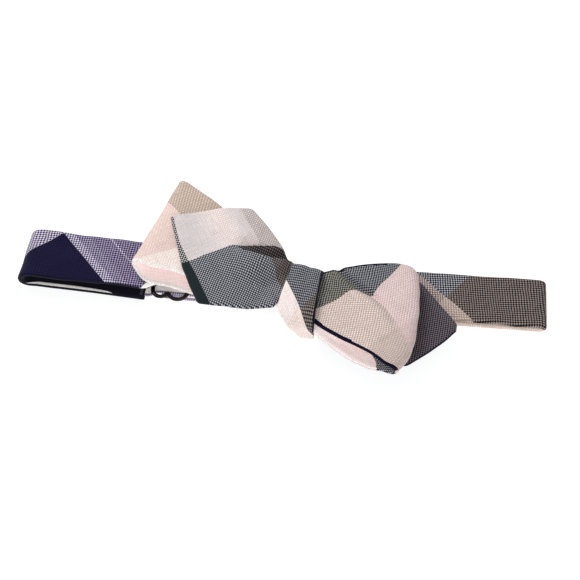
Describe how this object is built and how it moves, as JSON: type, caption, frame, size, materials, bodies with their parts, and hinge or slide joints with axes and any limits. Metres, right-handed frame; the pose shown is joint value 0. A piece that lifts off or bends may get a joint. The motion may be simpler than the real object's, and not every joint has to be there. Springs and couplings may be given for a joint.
{
  "type": "bow tie",
  "caption": "Adjustable pointed bow tie in checked cloth, neckband closed by a hook and eye and folded flat behind the knot, with a metal slider.",
  "frame": {"origin": "centre of the bottom of the bounding box, on the surface the tie lies on", "axes": "+X along the neckband, +Y towards the neckband's upper edge as worn, +Z out of the bow's face"},
  "size_m": [0.1896, 0.072, 0.0203],
  "materials": {
    "check_cloth": "matte plain weave",
    "canvas": "matte raw canvas",
    "lining": "matte plain weave",
    "thread": "soft sheen",
    "dark_bronze": "semi-gloss dark bronze plating"
  },
  "bodies": {
    "bow": {"band_left_front_face": "check_cloth", "band_left_front_canvas": "canvas", "band_left_front_lining": "lining", "band_right_front_face": "check_cloth", "band_right_front_canvas": "canvas", "band_right_front_lining": "lining", "bow_end_front_face": "check_cloth", "bow_end_front_canvas": "canvas", "bow_end_front_lining": "lining", "bow_loop_front_face": "check_cloth", "bow_loop_front_canvas": "canvas", "bow_loop_front_lining": "lining", "bow_loop_back_face": "check_cloth", "bow_loop_back_canvas": "canvas", "bow_loop_back_lining": "lining", "bow_end_back_face": "check_cloth", "bow_end_back_canvas": "canvas", "bow_end_back_lining": "lining", "knot_wrap_face": "check_cloth", "knot_wrap_canvas": "canvas", "knot_tack": "thread"},
    "left_back": {"band_left_back_face": "check_cloth", "band_left_back_canvas": "canvas", "band_left_back_lining": "lining", "adjuster_strap": "check_cloth", "adjuster_return": "check_cloth", "band_end_tack": "thread"},
    "right_back": {"band_right_back_face": "check_cloth", "band_right_back_canvas": "canvas", "band_right_back_lining": "lining", "hook_loop": "check_cloth", "hook_loop_tack": "thread"},
    "slider": {"slider": "dark_bronze", "adjuster_tail": "check_cloth"},
    "eye": {"eye": "dark_bronze"},
    "hook": {"hook": "dark_bronze"}
  },
  "joints": [
    {"name": "right_band_unfold", "type": "hinge", "parent": "bow", "child": "right_back", "pos_m": [0.09468, 0.00301, 0.00245], "axis": [0.014, -0.9999, 0], "range_deg": [0, 150]},
    {"name": "left_band_unfold", "type": "hinge", "parent": "bow", "child": "left_back", "pos_m": [-0.09458, 0.00384, 0.00475], "axis": [0.0227, 0.9997, 0], "range_deg": [0, 150]},
    {"name": "slider_slide", "type": "slide", "parent": "left_back", "child": "slider", "axis": [0.9997, -0.0227, 0], "range_m": [0, 0.012], "deforming": ["adjuster_return"]},
    {"name": "eye_swivel", "type": "hinge", "parent": "left_back", "child": "eye", "pos_m": [-0.01835, 0.00211, 0.00258], "axis": [0.0227, 0.9997, 0], "range_deg": [-8, 4]},
    {"name": "hook_swivel", "type": "hinge", "parent": "right_back", "child": "hook", "pos_m": [0.00318, 0.00173, 0.00155], "axis": [0.014, -0.9999, 0], "range_deg": [0, 75]}
  ],
  "couplings": [
    {"joint": "left_band_unfold", "follows": "right_band_unfold", "ratio": 1}
  ]
}
